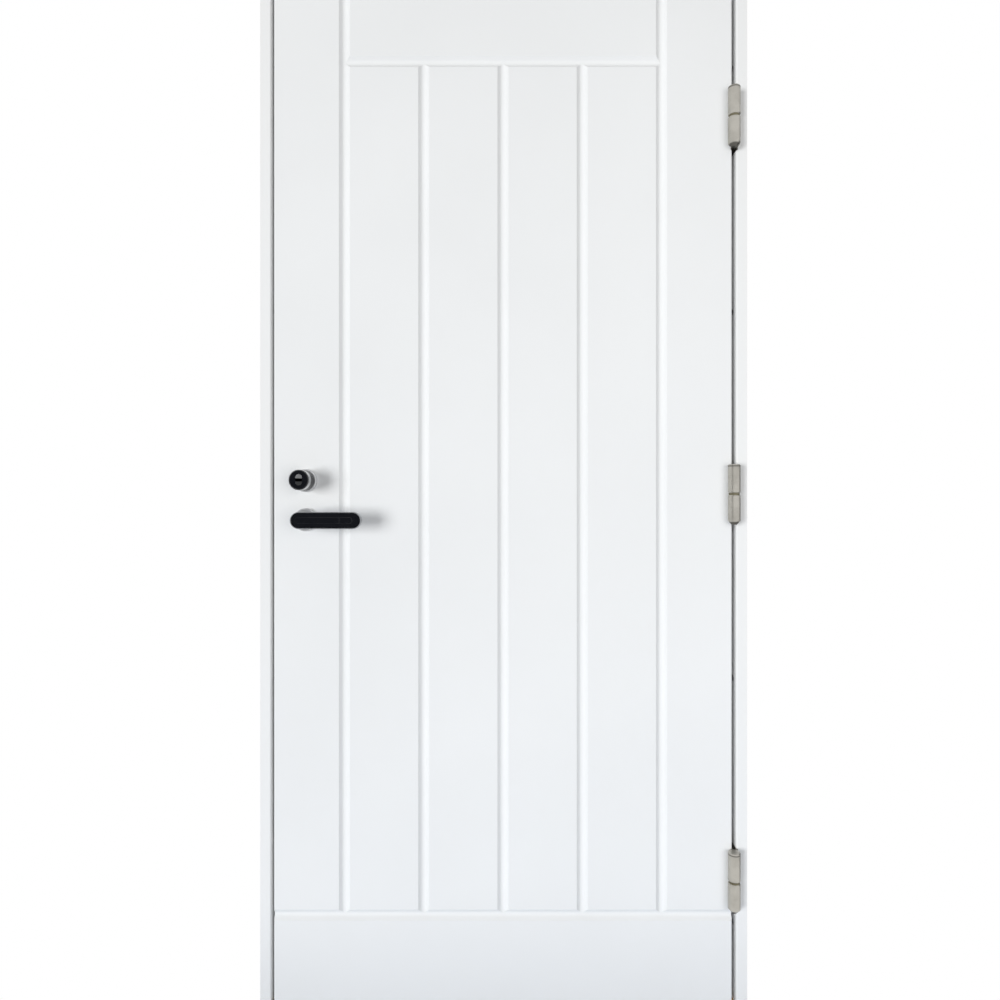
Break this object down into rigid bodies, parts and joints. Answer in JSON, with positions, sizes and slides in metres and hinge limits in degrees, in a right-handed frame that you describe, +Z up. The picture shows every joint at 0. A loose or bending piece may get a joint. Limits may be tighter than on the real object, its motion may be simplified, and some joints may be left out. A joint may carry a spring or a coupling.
{
  "type": "fire door",
  "caption": "White timber fire door leaf with a routed plank pattern, hung on lift-off hinges in a rebated frame, with a lever handle and a cylinder knob.",
  "frame": {"origin": "middle of the threshold's underside, on the floor and at half the frame's depth", "axes": "+X to the right seen from the side the leaf opens to, +Y through the wall away from that side, +Z up"},
  "size_m": [0.983, 0.167, 2.085],
  "materials": {
    "leaf_paint": "white factory paint, satin",
    "frame_paint": "white factory paint, satin",
    "core_board": "raw board, sealed inside the leaf",
    "oak": "clear lacquer",
    "seal_rubber": "pale grey extruded rubber",
    "intumescent": "matt graphite strip",
    "hinge_nickel": "satin nickel plating",
    "bearing_bronze": "plain sintered bronze",
    "lock_steel": "brushed stainless steel",
    "satin_chrome": "satin chrome plating",
    "black_gloss": "black gloss moulding"
  },
  "bodies": {
    "frame": {"lock_jamb": "frame_paint", "hinge_jamb": "frame_paint", "frame_head": "frame_paint", "threshold": "oak", "lock_jamb_stop": "frame_paint", "hinge_jamb_stop": "frame_paint", "head_stop": "frame_paint", "lock_jamb_seal": "seal_rubber", "hinge_jamb_seal": "seal_rubber", "head_seal": "seal_rubber", "threshold_seal": "seal_rubber", "lock_jamb_fire_strip": "intumescent", "hinge_jamb_fire_strip": "intumescent", "head_fire_strip": "intumescent", "strike_plate": "lock_steel", "top_hinge_frame_half": "hinge_nickel", "top_hinge_bearing": "bearing_bronze", "middle_hinge_frame_half": "hinge_nickel", "middle_hinge_bearing": "bearing_bronze", "bottom_hinge_frame_half": "hinge_nickel", "bottom_hinge_bearing": "bearing_bronze"},
    "leaf": {"front_facing": "leaf_paint", "back_facing": "leaf_paint", "leaf_core": "core_board", "lock_edge_lipping": "leaf_paint", "hinge_edge_lipping": "leaf_paint", "top_edge_lipping": "leaf_paint", "bottom_edge_lipping": "leaf_paint", "lock_forend": "lock_steel", "latch_bolt": "lock_steel", "outer_lever_rose": "satin_chrome", "inner_lever_rose": "satin_chrome", "cylinder_rose": "satin_chrome", "thumb_turn_rose": "satin_chrome", "thumb_turn": "satin_chrome", "top_hinge_leaf_half": "hinge_nickel", "middle_hinge_leaf_half": "hinge_nickel", "bottom_hinge_leaf_half": "hinge_nickel"},
    "lever_set": {"outer_lever": "satin_chrome", "outer_lever_face": "black_gloss", "inner_lever": "satin_chrome", "lever_spindle": "lock_steel"},
    "cylinder_knob": {"knob_barrel": "satin_chrome", "knob_cap": "black_gloss", "key_plug": "satin_chrome"}
  },
  "joints": [
    {"name": "leaf_swing", "type": "hinge", "parent": "frame", "child": "leaf", "pos_m": [0.46075, -0.07025, 1.0375], "axis": [0, 0, 1], "range_deg": [0, 175]},
    {"name": "lever_turn", "type": "hinge", "parent": "leaf", "child": "lever_set", "pos_m": [-0.399, -0.0265, 0.9925], "axis": [0, 1, 0], "range_deg": [0, 45], "stiffness_Nm_per_rad": 1.9, "springref_deg": -17.19},
    {"name": "knob_turn", "type": "hinge", "parent": "leaf", "child": "cylinder_knob", "pos_m": [-0.399, -0.0825, 1.0715], "axis": [0, 1, 0], "continuous": true}
  ]
}
